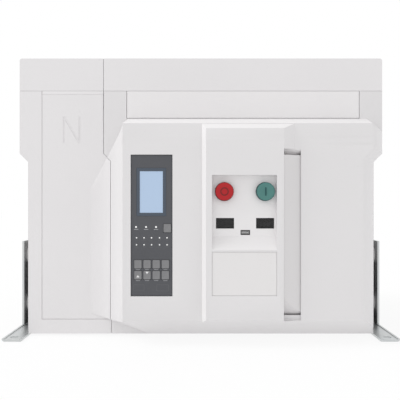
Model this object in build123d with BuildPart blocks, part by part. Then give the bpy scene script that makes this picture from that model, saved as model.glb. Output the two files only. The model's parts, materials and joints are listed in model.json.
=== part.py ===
from build123d import *
import os
from math import cos, radians, sin

# Four-pole low-voltage air circuit breaker, fixed mounted, in millimetres.
# X runs to the right, Y to the back and Z up, so the front faces -Y. The origin is the centre of the
# four foot holes, on the underside of the feet. The neutral pole is the left one.

# Sizes that drive the rest
pole_pitch = 130.0
body_top = 402.0
foot_length = 290.0

# Body outline
wall = 4.0
seam = 0.6
side_skin = 3.0
step_in = 13.0
neutral_offset = 11.3
cap_height = 47.0
edge_radius = 3.5
body_width = 4 * pole_pitch + 2 * side_skin
lower_width = body_width - 2 * step_in
half_body = body_width / 2
half_lower = lower_width / 2
cap_bottom = body_top - cap_height
low_seam = -pole_pitch
high_seam = low_seam - neutral_offset

# Feet and side brackets
foot_thickness = 3.0
foot_width = 26.7
foot_hole_radius = 5.5
foot_hole_inset = 13.2
foot_hole_end = 14.0
bracket_outside = lower_width + 2 * foot_width
bracket_height = 133.0
bracket_front = -55.0
bracket_back = 115.0
bracket_bend = 4.0
bracket_corner = 12.0
bolt_radius = 5.0
bolt_gap = 0.3
bolt_head_radius = 8.5
bolt_head_height = 5.0
bolt_length = 16.0
bolt_rows_y = (-30.0, 90.0)
bolt_rows_z = (35.0, 110.0)
boss_radius = 13.0
foot_hole_span_x = bracket_outside - 2 * foot_hole_inset
foot_hole_span_y = foot_length - 2 * foot_hole_end
plate_inside = bracket_outside / 2 - foot_thickness
body_bottom = foot_thickness

# Depths, front to back
cover_front = -110.0
cover_back = -70.0
partition_front = -45.0
partition_thickness = 12.0
housing_split = 40.0
base_back = 120.0
base_wall = 8.0
pole_wall = 10.0
tray_rim = 6.0
rib_depth = 10.0
rib_inset = 34.0
partition_back = partition_front + partition_thickness
tray_side = half_body - tray_rim
cell_width = pole_pitch - pole_wall

# Raised fascia on the front cover
fascia_proud = 60.0
fascia_bottom = 34.2
fascia_top = round(0.7465 * body_top, 1)
fascia_bevel = 14.4
flank_left = 24.3
flank_right = 33.0
flank_round = 14.0
sweep_reach = 70.0
sweep_ease = 38.0
sweep_hook = 4.6
sweep_lift = 4.0
corner_drop = 45.5
corner_lift = 19.6
corner_run = 31.0
shoulder_in = 23.0
shoulder_drop = 19.5
channel_radius = 56.0
channel_depth = 0.4
channel_drop = 23.5
flank_foot = low_seam + seam / 2
fascia_left = flank_foot + flank_left
fascia_right = half_lower - flank_right
sweep_foot = fascia_left - sweep_reach
fascia_front = cover_front - fascia_proud
step_z = fascia_top - 36.1

# Middle block, which stands further out
block_proud = 70.0
block_width = 103.4
block_flank = 5.2
block_flank_right = 15.0
block_left = fascia_left + round(0.8615 * pole_pitch)
block_right = block_left + block_width
block_bottom = fascia_bottom + 3.5
block_top = fascia_top - 8.1
block_front = cover_front - block_proud
block_middle_z = (block_bottom + block_top) / 2

# Pocket with the two buttons, the two indicator windows and the counter window
pocket_left = block_left + 8.0
pocket_right = block_right - 9.3
pocket_top = block_middle_z + 64.95
pocket_height = 99.3
pocket_bottom = pocket_top - pocket_height
pocket_depth = 10.0
pocket_ramp = 17.7
pocket_floor = block_front + pocket_depth
floor_back = pocket_floor + wall
button_radius = 12.4
button_z = pocket_top - 21.8
off_button_x = block_left + 24.7
on_button_x = block_left + 79.6
button_proud = 8.0
button_gap = 0.3
button_stem_radius = 6.0
button_stem_length = 24.0
button_dish_radius = 30.0
button_dish_depth = 1.2
window_width = 24.3
window_height = 14.2
window_z = pocket_bottom + 34.9
off_window_x = off_button_x + 1.0
on_window_x = on_button_x
counter_x = block_left + 53.0
counter_z = pocket_bottom + 22.5
counter_width = 12.8
counter_height = 6.7
counter_rim = 3.0
counter_depth = 22.0
counter_gap = 0.3
counter_inset = 1.0
label_top = pocket_bottom - 2.7
label_height = 58.3
label_bottom = label_top - label_height
label_recess = 1.6
label_thickness = 1.0
label_gap = 0.3

# Charging handle, in its slot beside the middle block
handle_slot_left = block_right
handle_slot_right = handle_slot_left + 24.3
handle_slot_bottom = fascia_bottom + 0.8
handle_slot_top = fascia_top - 35.1
handle_gap = 0.35
handle_reach_gap = 8.0
scoop_depth = 12.0
scoop_gap = 0.5
lip_recess = 3.0
lip_height = 6.4
handle_top = handle_slot_top - handle_reach_gap
handle_front = -178.0
handle_slope = 10.0
handle_thickness = 30.0
handle_hub_radius = 18.0
handle_wall = 3.0
handle_pivot_y = -142.0
handle_pivot_z = 72.0
running_gap = 0.05

# Trip unit
trip_width = 55.0
trip_height = 189.3
trip_left = fascia_left + 11.5
trip_right = trip_left + trip_width
trip_middle_z = (fascia_bottom + fascia_top) / 2 - 4.7
trip_bottom = trip_middle_z - trip_height / 2
trip_top = trip_middle_z + trip_height / 2
trip_gap = 0.6
trip_panel_thickness = 3.0
trip_panel_recess = 1.0
trip_case_depth = 54.0
trip_case_inset = 1.5
trip_arm_width = 28.0
trip_arm_height = 18.0
trip_arm_inset = 4.0
display_left = trip_left + 7.3
display_right = trip_right - 8.1
display_top = trip_top - 17.4
display_height = 64.5
display_bottom = display_top - display_height
display_thickness = 1.5
display_gap = 0.15
key_width = 10.0
key_height = 11.4
key_pitch_x = 12.3
key_pitch_z = 14.7
key_centre_x = trip_left + 27.6
key_centre_z = trip_bottom + 35.2
key_proud = 0.8
key_thickness = 2.8
key_gap = 0.3
key_corner = 1.0
reset_key_x = trip_left + 48.6
reset_key_z = trip_bottom + 91.0
trip_panel_front = fascia_front + trip_panel_recess
trip_panel_back = trip_panel_front + trip_panel_thickness
trip_case_back = trip_panel_back + trip_case_depth

# Secondary terminals and their cover
terminal_cover_left = fascia_left - 2.5
terminal_cover_right = fascia_right + 13.1
terminal_cover_height = 40.0
terminal_cover_bottom = cap_bottom - terminal_cover_height
terminal_block_height = 30.0
terminal_block_front = -103.0
terminal_slot_pitch = 13.0
terminal_slot_count = round((terminal_cover_right - terminal_cover_left) / terminal_slot_pitch) - 3
terminal_slot_width = 8.0
terminal_slot_height = 18.0
terminal_slot_depth = 10.0

# Current path of one pole
bar_width = cell_width - 20.0
bar_thickness = 15.0
bar_back = 180.0
upper_bar_z = round(0.622 * body_top)
lower_bar_front = 30.0
bar_gap = 0.3
bar_hole_radius = 6.5
bar_hole_span_x = 0.6 * bar_width
bar_hole_span_y = 25.0
bar_hole_inset = 15.0
bar_hole_y = bar_back - bar_hole_inset - bar_hole_span_y / 2
contact_face_y = 66.0
contact_pad_thickness = 4.0
contact_pad_bottom = upper_bar_z - 34.0
contact_pad_height = 24.0
fixed_leg_thickness = 12.0
fixed_leg_overhang = 2.0
arc_runner_height = 8.0
arc_runner_thickness = 2.5
pivot_y = 30.0
pivot_z = round(0.2985 * body_top)
pivot_radius = 7.0
pivot_stub = 4.0
contact_swing = 14.0
contact_gap = 0.3
finger_thickness = 14.0
finger_slot = 3.0
finger_count = 6
finger_top = upper_bar_z - 14.0
finger_hub_radius = 14.0
finger_horn = 14.0
horn_thickness = 5.0
finger_slope_top = 44.0
finger_slope_band = 4.0
lug_arm = round(0.6 * (finger_top - pivot_z))
lug_radius = 9.0
lug_thickness = 5.0
flex_thickness = 6.0
flex_gap = 0.5
flex_reach = 34.0
flex_wrap = 60.0
flex_width = bar_width - 16.0
transformer_width = cell_width - 3.0
transformer_height = 58.0
transformer_depth = 30.0
transformer_gap = 0.3
lower_bar_z = pivot_z - finger_hub_radius - flex_gap - flex_thickness - bar_thickness / 2
poles = {name: (k - 1.5) * pole_pitch for k, name in enumerate(("n", "1", "2", "3"))}

# Arc chutes above the contacts
chute_width = cell_width - 4.0
chute_front = 5.0
chute_back = 104.0
chute_bottom = upper_bar_z + 14.0
chute_top = body_top - 14.0
chute_wall = 3.0
chute_flange = 4.0
chute_flange_reach = 5.0
splitter_thickness = 2.0
splitter_pitch = 8.0
splitter_count = 11
splitter_bottom = chute_bottom + 4.0
splitter_top = cap_bottom - 11.0
splitter_notch = 30.0
splitter_gap = 0.3
vent_count = 7
vent_width = 7.0
vent_length = chute_width - 24.0
vent_pitch = 13.0

# Main shaft, its cranks and the links to the contacts
shaft_y = -68.0
shaft_radius = 10.0
crank_swing = 50.0
crank_thickness = 4.0
crank_pin_radius = 4.5
crank_eye_radius = 8.5
link_width = 16.0
link_side_gap = 0.4
link_height = 14.0
link_open_gap = 1.6
link_eye_wall = 5.0
link_slot_height = 34.0
link_slot_width = 44.0
pedestal_width = 12.0
pedestal_height = 32.0
pedestal_offset = 17.0
shaft_length = 2 * (1.5 * pole_pitch + pedestal_offset + pedestal_width)
lug_z = pivot_z + lug_arm * cos(radians(contact_swing / 2))
open_lug_y = pivot_y - lug_arm * sin(radians(contact_swing / 2))
crank_radius = lug_arm * sin(radians(contact_swing / 2)) / sin(radians(crank_swing / 2))
shaft_z = pivot_z + lug_arm - crank_radius
crank_pin_y = shaft_y - crank_radius * sin(radians(crank_swing / 2))
crank_pin_z = shaft_z + crank_radius * cos(radians(crank_swing / 2))

# Stored-energy mechanism
plate_thickness = 3.0
plate_left = block_left - 2.6
plate_right = block_right + 29.0
plate_front = -158.0
plate_bottom = 42.0
plate_top = fascia_top - 14.1
rod_radius = 5.0
plate_corner = 46.0
window_hole_y = -108.0
window_hole_z = 122.0
window_hole_radius = 20.0
flange_width = 20.0
shelf_z = plate_top - 50.0
shelf_thickness = 3.0
shelf_front = -135.0
shelf_back = -72.0
frame_rods = ((-60.0, plate_bottom + 16), (-128.0, shelf_z - 12), (-58.0, plate_top - 18))
charging_shaft_radius = 8.0
shaft_stub = 2.0
ratchet_radius = 24.0
ratchet_tooth = 3.0
ratchet_teeth = 24
ratchet_thickness = 6.0
ratchet_x = plate_left + 94.0
cam_radius = 20.0
cam_throw = 6.0
cam_thickness = 12.0
cam_x = plate_left + 58.0
indicator_pivot_y = -141.0
indicator_radius = 24.0
indicator_wall = 2.5
indicator_half_angle = 50.0
indicator_axle_radius = 3.0
indicator_margin = 0.8
spring_x = plate_left - 20.0
spring_y = -100.0
spring_radius = 13.0
spring_wire = 2.5
spring_turns = 7
spring_bottom = 60.0
spring_top = shelf_z - 34.0
seat_plate_thickness = 4.0
seat_margin = 1.0
seat_gap = 0.1
coil_width = 32.0
coil_depth = 56.0
coil_height = 40.0
coil_pitch = 40.0
coil_yoke = 4.0
coil_gap = 1.0
plunger_radius = 4.0
plunger_reach = 6.0
mechanism_side = plate_right + plate_thickness
side_space = tray_side - mechanism_side
gearbox_width = 20.0
gearbox_depth = 84.0
gearbox_height = 84.0
motor_radius = 23.0
motor_length = 0.526 * (side_space - gearbox_width)
motor_offset_y = 40.0
motor_corner = 4.0
switch_width = 0.52 * side_space
switch_depth = 60.0
switch_height = 54.0
switch_x = mechanism_side + 0.33 * side_space
switch_z = shaft_z + 62.2
switch_slot_count = 4
screw_radius = 2.0
screw_head_radius = 4.0
screw_head_height = 3.0
screw_reach = 12.0
screw_gap = 0.15
screw_boss_wall = 2.0
screw_rows_y = (partition_front + partition_thickness / 2, base_back - base_wall / 2)
overshoot = 1.0

os.makedirs("parts", exist_ok=True)


def save(piece, name):
    """Label a finished piece and write it to its own file."""
    piece.part.label = name
    export_step(piece.part, f"parts/{name}.step")


def facing(y):
    """A sketch plane at depth y that looks out of the front, with X to the right and Z up."""
    return Plane.XZ.offset(-y)


def block(x, y, z, mode=Mode.ADD):
    """A box between the two values given for each axis."""
    with Locations(((x[0] + x[1]) / 2, (y[0] + y[1]) / 2, (z[0] + z[1]) / 2)):
        Box(x[1] - x[0], y[1] - y[0], z[1] - z[0], mode=mode)


def rod_x(x, y, z, radius, mode=Mode.ADD):
    """A cylinder along X between the two values of x."""
    with Locations(Location(((x[0] + x[1]) / 2, y, z), (0, 90, 0))):
        Cylinder(radius, x[1] - x[0], mode=mode)


def rod_y(x, y, z, radius, mode=Mode.ADD):
    """A cylinder along Y between the two values of y."""
    with Locations(Location((x, (y[0] + y[1]) / 2, z), (90, 0, 0))):
        Cylinder(radius, y[1] - y[0], mode=mode)


def rod_z(x, y, z, radius, mode=Mode.ADD):
    """A cylinder along Z between the two values of z."""
    with Locations((x, y, (z[0] + z[1]) / 2)):
        Cylinder(radius, z[1] - z[0], mode=mode)


# Side brackets: an upright plate with a foot turned inwards under the body


def bracket(side):
    """One bracket, side -1 for the left and 1 for the right."""
    outside = side * bracket_outside / 2
    with BuildPart() as piece:
        with BuildSketch(Plane.XZ.offset(-foot_length / 2)):
            with BuildLine():
                foot_edge = outside - side * foot_width
                inside = outside - side * foot_thickness
                FilletPolyline(
                    (foot_edge, 0),
                    (outside, 0),
                    (outside, bracket_height),
                    radius=bracket_bend,
                )
                Line((outside, bracket_height), (inside, bracket_height))
                FilletPolyline(
                    (inside, bracket_height),
                    (inside, foot_thickness),
                    (foot_edge, foot_thickness),
                    radius=bracket_bend - foot_thickness,
                )
                Line((foot_edge, foot_thickness), (foot_edge, 0))
            make_face()
        extrude(amount=foot_length)
        for y in ((-foot_length / 2, bracket_front), (bracket_back, foot_length / 2)):
            x = sorted((outside - side * bracket_bend, outside + side * overshoot))
            block(x, y, (bracket_bend, bracket_height + overshoot), Mode.SUBTRACT)
        for y, turn in ((bracket_front, 1), (bracket_back, -1)):
            with BuildSketch(Plane.YZ.offset(outside - side * foot_thickness * 2)):
                with BuildLine():
                    Polyline(
                        (y, bracket_height),
                        (y + turn * bracket_corner, bracket_height),
                        (y, bracket_height - bracket_corner),
                        close=True,
                    )
                make_face()
            extrude(amount=foot_thickness * 3, both=True, mode=Mode.SUBTRACT)
        for y in (-foot_hole_span_y / 2, foot_hole_span_y / 2):
            hole_z = (-overshoot, foot_thickness + overshoot)
            rod_z(side * foot_hole_span_x / 2, y, hole_z, foot_hole_radius, Mode.SUBTRACT)
        for y in bolt_rows_y:
            for z in bolt_rows_z:
                x = sorted((outside - side * foot_thickness * 2, outside + side * overshoot))
                rod_x(x, y, z, bolt_radius + bolt_gap, Mode.SUBTRACT)
    return piece


save(bracket(-1), "bracket_left")
save(bracket(1), "bracket_right")

with BuildPart() as bracket_bolts:
    for side in (-1, 1):
        outside = side * bracket_outside / 2
        for y in bolt_rows_y:
            for z in bolt_rows_z:
                rod_x(sorted((outside, outside - side * bolt_length)), y, z, bolt_radius)
                with BuildSketch(Plane.YZ.offset(outside)):
                    with Locations((y, z)):
                        RegularPolygon(bolt_head_radius, 6)
                extrude(amount=side * bolt_head_height)
save(bracket_bolts, "bracket_bolts")

# Rear base: one moulding with a cell for each pole, open to the front and to the top


def bolt_boss(side, y, z):
    """A boss on the side of the body that reaches the bracket, with the blind hole of its bolt."""
    rod_x(sorted((side * half_body, side * plate_inside)), y, z, boss_radius)
    tip = bracket_outside / 2 - bolt_length - overshoot
    rod_x(sorted((side * tip, side * plate_inside)), y, z, bolt_radius + bolt_gap, Mode.SUBTRACT)


with BuildPart() as rear_base:
    block((-half_body, half_body), (housing_split, base_back), (body_bottom, cap_bottom))
    for x in poles.values():
        cell = (x - cell_width / 2, x + cell_width / 2)
        cell_z = (body_bottom + base_wall, cap_bottom)
        block(cell, (housing_split, base_back - base_wall), cell_z, Mode.SUBTRACT)
        half_bar = bar_width / 2 + bar_gap
        for z in (upper_bar_z, lower_bar_z):
            tall = bar_thickness / 2 + bar_gap
            bar_x = (x - half_bar, x + half_bar)
            block(bar_x, (housing_split, base_back), (z - tall, z + tall), Mode.SUBTRACT)
        screw_z = (cap_bottom - screw_reach - screw_gap, cap_bottom)
        rod_z(x, screw_rows_y[1], screw_z, screw_radius + screw_gap, Mode.SUBTRACT)
    for k in (-1, 0, 1):
        edge = pole_wall / 2
        rib_x = (k * pole_pitch - edge, k * pole_pitch + edge)
        rib_z = (body_bottom + rib_inset, cap_bottom - rib_inset)
        block(rib_x, (base_back, base_back + rib_depth), rib_z)
    for side in (-1, 1):
        for z in bolt_rows_z:
            bolt_boss(side, bolt_rows_y[1], z)
save(rear_base, "rear_base")

# Contact housing: the front half of the pole cells, with the partition that carries the mechanism

with BuildPart() as contact_housing:
    block((-half_body, half_body), (cover_back, housing_split), (body_bottom, cap_bottom))
    tray_x = half_body - tray_rim
    tray_z = (body_bottom + tray_rim, cap_bottom - tray_rim)
    block((-tray_x, tray_x), (cover_back, partition_front), tray_z, Mode.SUBTRACT)
    for x in poles.values():
        cell = (x - cell_width / 2, x + cell_width / 2)
        cell_z = (body_bottom + base_wall, cap_bottom)
        block(cell, (partition_back, housing_split), cell_z, Mode.SUBTRACT)
        slot_x = (x - link_slot_width / 2, x + link_slot_width / 2)
        slot_z = (crank_pin_z - link_slot_height / 2, crank_pin_z + link_slot_height / 2)
        block(slot_x, (partition_front, partition_back), slot_z, Mode.SUBTRACT)
        screw_z = (cap_bottom - screw_reach - screw_gap, cap_bottom)
        rod_z(x, screw_rows_y[0], screw_z, screw_radius + screw_gap, Mode.SUBTRACT)
    bore_end = half_body - pole_wall / 4
    rod_x((-bore_end, bore_end), pivot_y, pivot_z, pivot_radius + running_gap, Mode.SUBTRACT)
    for side in (-1, 1):
        x = sorted((side * (shaft_length / 2 - pedestal_width), side * shaft_length / 2))
        pedestal_z = (shaft_z - pedestal_height / 2, shaft_z + pedestal_height / 2)
        block(x, (shaft_y - shaft_radius - wall, partition_front), pedestal_z)
        rod_x(x, shaft_y, shaft_z, shaft_radius + running_gap, Mode.SUBTRACT)
        for z in bolt_rows_z:
            bolt_boss(side, bolt_rows_y[0], z)
save(contact_housing, "contact_housing")

# Front covers: shells whose outline steps in towards the feet, and a raised fascia on the three-pole one


def stepped(left_top, left_low, right_top, right_low):
    """Corners of a cover's outline, with the 45 degree step at each side."""
    return (
        (left_low, body_bottom),
        (right_low, body_bottom),
        (right_low, step_z - abs(right_top - right_low)),
        (right_top, step_z),
        (right_top, cap_bottom - seam / 2),
        (left_top, cap_bottom - seam / 2),
        (left_top, step_z),
        (left_low, step_z - abs(left_top - left_low)),
    )


def fascia_outline(z, shift):
    """The fascia seen from above at height z, with its right flank moved out by shift."""
    with BuildSketch(Plane.XY.offset(z)) as outline:
        with BuildLine():
            Bezier(
                (sweep_foot, cover_front + overshoot),
                (sweep_foot + sweep_ease, cover_front - overshoot),
                (fascia_left - sweep_hook, cover_front - sweep_lift),
                (fascia_left, fascia_front),
            )
            Line((fascia_left, fascia_front), (fascia_right + shift, fascia_front))
            Bezier(
                (fascia_right + shift, fascia_front),
                (fascia_right + shift + flank_round, fascia_front),
                (half_lower + shift, cover_front),
            )
            Polyline(
                (half_lower + shift, cover_front),
                (half_lower + shift, cover_front + overshoot),
                (sweep_foot, cover_front + overshoot),
            )
        make_face()
    return outline.sketch


def corner_cut(face_corner, foot_a, foot_b, outward):
    """Slopes a corner of the fascia, from its front corner down to the line between two foot points."""
    corner = Vector(face_corner[0], fascia_front, face_corner[1])
    first = Vector(foot_a[0], cover_front, foot_a[1])
    second = Vector(foot_b[0], cover_front, foot_b[1])
    normal = (second - first).cross(corner - first)
    if normal.dot(Vector(outward[0], 0, outward[1])) < 0:
        normal = -normal
    with Locations(Plane(origin=corner, x_dir=second - first, z_dir=normal)):
        above = (Align.CENTER, Align.CENTER, Align.MIN)
        Box(body_width, body_width, cap_height, align=above, mode=Mode.SUBTRACT)


step_foot = step_z - step_in
bevel_top = fascia_top + fascia_bevel
with BuildPart() as fascia_form:
    extrude(fascia_outline(body_bottom, 0), amount=step_foot - body_bottom)
    loft([fascia_outline(step_foot, 0).face(), fascia_outline(step_z, step_in).face()], ruled=True)
    extrude(fascia_outline(step_z, step_in), amount=bevel_top - step_z)
    with BuildSketch(Plane.YZ.offset(sweep_foot)):
        with BuildLine():
            Polyline(
                (cover_front + overshoot, body_bottom),
                (cover_front, body_bottom),
                (fascia_front, fascia_bottom),
                (fascia_front, fascia_top),
                (cover_front, bevel_top),
                (cover_front + overshoot, bevel_top),
                close=True,
            )
        make_face()
    extrude(amount=half_body - sweep_foot, mode=Mode.INTERSECT)
    foot = (fascia_left, bevel_top), (flank_foot, bevel_top - corner_drop)
    corner_cut((fascia_left, fascia_top), *foot, (-1, 1))
    foot = (flank_foot, body_bottom + corner_lift), (fascia_left + corner_run, body_bottom)
    corner_cut((fascia_left, fascia_bottom), *foot, (-1, -1))
    foot = (half_body - shoulder_in, bevel_top), (half_body, bevel_top - shoulder_drop)
    corner_cut((fascia_right + step_in, fascia_top), *foot, (1, 1))
    # A very shallow hollow runs across the upper part
    channel_z = fascia_top - channel_drop
    channel_y = fascia_front - channel_radius + channel_depth
    rod_x((fascia_left, half_body), channel_y, channel_z, channel_radius, Mode.SUBTRACT)


def raised_part(corners):
    """As much of the raised fascia as lies on a cover's outline."""
    with BuildPart() as piece:
        with BuildSketch(facing(cover_front + overshoot)):
            Polygon(*corners, align=None)
        extrude(amount=fascia_proud + 2 * overshoot)
        add(fascia_form.part, mode=Mode.INTERSECT)
    return piece.part


front_outline = stepped(high_seam + seam / 2, flank_foot, half_body, half_lower)
front_raised = raised_part(front_outline)
with BuildPart() as front_cover:
    with BuildSketch(facing(cover_back)):
        Polygon(*front_outline, align=None)
    extrude(amount=cover_back - cover_front)
    add(front_raised)
    # The middle block stands further out, with sloping flanks
    foot_left, foot_right = block_left - block_flank, block_right + block_flank_right
    foot_low, foot_high = block_bottom - block_flank, block_top + block_flank
    with BuildSketch(facing(fascia_front + wall / 2)):
        with Locations(((foot_left + foot_right) / 2, (foot_low + foot_high) / 2)):
            Rectangle(foot_right - foot_left, foot_high - foot_low)
    extrude(amount=wall / 2)
    with BuildSketch(facing(fascia_front)):
        with Locations(((foot_left + foot_right) / 2, (foot_low + foot_high) / 2)):
            Rectangle(foot_right - foot_left, foot_high - foot_low)
    with BuildSketch(facing(block_front)):
        with Locations(((block_left + block_right) / 2, (block_bottom + block_top) / 2)):
            Rectangle(block_right - block_left, block_top - block_bottom)
    loft()
    channel_y = block_front - channel_radius + channel_depth
    channel_x = (block_left - overshoot, block_right + overshoot)
    rod_x(channel_x, channel_y, channel_z, channel_radius, Mode.SUBTRACT)
    # Hollow from behind: the shallow tray, then the deeper spaces in the fascia and in the middle block
    tray_x = (flank_foot - neutral_offset, half_lower - wall)
    block(tray_x, (cover_front + wall, cover_back), (body_bottom + wall, cap_bottom - wall), Mode.SUBTRACT)
    inner_x = (fascia_left + wall, fascia_right - wall)
    inner_z = (fascia_bottom + wall, fascia_top - wall)
    block(inner_x, (fascia_front + wall, cover_back), inner_z, Mode.SUBTRACT)
    deep_z = (block_bottom + wall, pocket_bottom - wall)
    block((block_left + wall, block_right - wall), (block_front + wall, cover_back), deep_z, Mode.SUBTRACT)
    deep_z = (pocket_top + wall, block_top - wall)
    block((block_left + wall, block_right - wall), (block_front + wall, cover_back), deep_z, Mode.SUBTRACT)
    # Pocket of the buttons, with a ramp at its lower end
    with BuildSketch(Plane.YZ.offset(pocket_left)):
        with BuildLine():
            Polyline(
                (block_front - overshoot, pocket_top),
                (pocket_floor, pocket_top),
                (pocket_floor, pocket_bottom + pocket_ramp),
                (block_front, pocket_bottom),
                (block_front - overshoot, pocket_bottom),
                close=True,
            )
        make_face()
    extrude(amount=pocket_right - pocket_left, mode=Mode.SUBTRACT)
    for x in (off_button_x, on_button_x):
        rod_y(x, (block_front, cover_back), button_z, button_radius + button_gap, Mode.SUBTRACT)
    windows = ((off_window_x, window_z, window_width, window_height),)
    windows += ((on_window_x, window_z, window_width, window_height),)
    windows += ((counter_x, counter_z, counter_width, counter_height),)
    for x, z, wide, high in windows:
        span_x = (x - wide / 2, x + wide / 2)
        block(span_x, (block_front, cover_back), (z - high / 2, z + high / 2), Mode.SUBTRACT)
    # Recess of the bare label, slot of the charging handle, opening of the trip unit
    recess_y = (block_front - overshoot, block_front + label_recess)
    block((pocket_left, pocket_right), recess_y, (label_bottom, label_top), Mode.SUBTRACT)
    slot_x = (handle_slot_left, handle_slot_right)
    slot_z = (handle_slot_bottom, handle_slot_top)
    block(slot_x, (block_front - overshoot, cover_back), slot_z, Mode.SUBTRACT)
    # The slot ends in a finger scoop above the handle and a lip below its round nose
    scoop_back = fascia_front + scoop_depth
    with BuildSketch(Plane.YZ.offset(handle_slot_left)):
        Polygon(
            (fascia_front, handle_slot_top),
            (scoop_back, handle_top + scoop_gap),
            (scoop_back + wall, handle_top + scoop_gap),
            (scoop_back + wall, handle_slot_top + wall),
            (fascia_front, handle_slot_top + wall),
            align=None,
        )
    extrude(amount=handle_slot_right - handle_slot_left)
    lip_y = (fascia_front + lip_recess, fascia_front + lip_recess + wall)
    block(slot_x, lip_y, (handle_slot_bottom - overshoot, handle_slot_bottom + lip_height))
    opening_x = (trip_left - trip_gap, trip_right + trip_gap)
    block(opening_x, (block_front, cover_back), (trip_bottom - trip_gap, trip_top + trip_gap), Mode.SUBTRACT)
    # Notch of the terminal cover, open at the top
    notch_z = (terminal_cover_bottom, cap_bottom)
    block((terminal_cover_left, terminal_cover_right), (cover_front, cover_back), notch_z, Mode.SUBTRACT)
save(front_cover, "front_cover")

neutral_outline = stepped(-half_body, -half_lower, high_seam - seam / 2, low_seam - seam / 2)
neutral_raised = raised_part(neutral_outline)
with BuildPart() as neutral_cover:
    with BuildSketch(facing(cover_back)):
        Polygon(*neutral_outline, align=None)
    extrude(amount=cover_back - cover_front)
    add(neutral_raised)
    tray_x = (-half_lower + wall, low_seam)
    block(tray_x, (cover_front + wall, cover_back), (body_bottom + wall, cap_bottom - wall), Mode.SUBTRACT)
save(neutral_cover, "neutral_cover")

with BuildPart() as terminal_cover:
    span_x = (terminal_cover_left + seam, terminal_cover_right - seam)
    span_z = (terminal_cover_bottom + seam, cap_bottom - seam / 2)
    block(span_x, (cover_front, cover_back), span_z)
    inner_x = (span_x[0] + wall, span_x[1] - wall)
    block(inner_x, (cover_front + wall, cover_back), (span_z[0], span_z[1] - wall), Mode.SUBTRACT)
save(terminal_cover, "terminal_cover")

# Top covers over the arc chutes, with exhaust vents over each pole and screw bosses inside


def top_cap(outer, inner, pole_names):
    """A cap from its outer side to the seam, open below and at the seam."""
    left, right = sorted((outer, inner))
    inward = 1 if inner > outer else -1
    with BuildPart() as piece:
        with BuildSketch(facing(base_back)) as end:
            with Locations(((left + right) / 2, cap_bottom + cap_height / 2)):
                Rectangle(right - left, cap_height)
            top_corners = end.vertices().group_by(Axis.Y)[-1].sort_by(Axis.X)
            fillet(top_corners[0 if inward > 0 else -1], edge_radius)
        extrude(amount=base_back - cover_front)
        hollow = sorted((outer + inward * wall, inner))
        block(hollow, (cover_front + wall, base_back - wall), (cap_bottom, body_top - wall), Mode.SUBTRACT)
        for name in pole_names:
            x = poles[name]
            with BuildSketch(Plane.XY.offset(body_top - wall)):
                with Locations((x, (chute_front + chute_back) / 2)):
                    with GridLocations(1, vent_pitch, 1, vent_count):
                        SlotOverall(vent_length, vent_width)
            extrude(amount=wall, mode=Mode.SUBTRACT)
            for y in screw_rows_y:
                rod_z(x, y, (cap_bottom, body_top - wall / 2), screw_head_radius + screw_boss_wall)
                head_z = body_top - screw_head_height - screw_gap
                rod_z(x, y, (head_z, body_top), screw_head_radius + screw_gap, Mode.SUBTRACT)
                rod_z(x, y, (cap_bottom, body_top), screw_radius + screw_gap, Mode.SUBTRACT)
        # The bosses at the back stay inside the cap
        block((left, right), (base_back, base_back + boss_radius), (cap_bottom, body_top), Mode.SUBTRACT)
    return piece


save(top_cap(half_body, high_seam + seam / 2, ("1", "2", "3")), "top_cover")
save(top_cap(-half_body, high_seam - seam / 2, ("n",)), "neutral_top_cover")

with BuildPart() as cover_screws:
    for x in poles.values():
        for y in screw_rows_y:
            head_z = body_top - screw_head_height - screw_gap
            rod_z(x, y, (head_z, body_top - screw_gap), screw_head_radius)
            rod_z(x, y, (cap_bottom - screw_reach, head_z), screw_radius)
save(cover_screws, "cover_screws")

# Current path of each pole


def bar_holes(x, z):
    """Four bolt holes in the outer end of a terminal bar."""
    with Locations((x, bar_hole_y, z)):
        with GridLocations(bar_hole_span_x, bar_hole_span_y, 2, 2):
            Cylinder(bar_hole_radius, bar_thickness * 2, mode=Mode.SUBTRACT)


contact_width = bar_width - wall
leg_front = contact_face_y + contact_pad_thickness
for name, x in poles.items():
    bar_x = (x - bar_width / 2, x + bar_width / 2)
    with BuildPart() as upper_terminal:
        bar_z = (upper_bar_z - bar_thickness / 2, upper_bar_z + bar_thickness / 2)
        block(bar_x, (leg_front, bar_back), bar_z)
        leg_z = (contact_pad_bottom - fixed_leg_overhang, bar_z[1])
        block(bar_x, (leg_front, leg_front + fixed_leg_thickness), leg_z)
        pad_x = (x - contact_width / 2, x + contact_width / 2)
        pad_z = (contact_pad_bottom, contact_pad_bottom + contact_pad_height)
        block(pad_x, (contact_face_y, leg_front), pad_z)
        runner_y = (leg_front, leg_front + arc_runner_thickness)
        block(pad_x, runner_y, (bar_z[1], bar_z[1] + arc_runner_height))
        bar_holes(x, upper_bar_z)
    save(upper_terminal, f"upper_terminal_{name}")

    with BuildPart() as lower_terminal:
        bar_z = (lower_bar_z - bar_thickness / 2, lower_bar_z + bar_thickness / 2)
        block(bar_x, (lower_bar_front, bar_back), bar_z)
        bar_holes(x, lower_bar_z)
    save(lower_terminal, f"lower_terminal_{name}")

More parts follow.
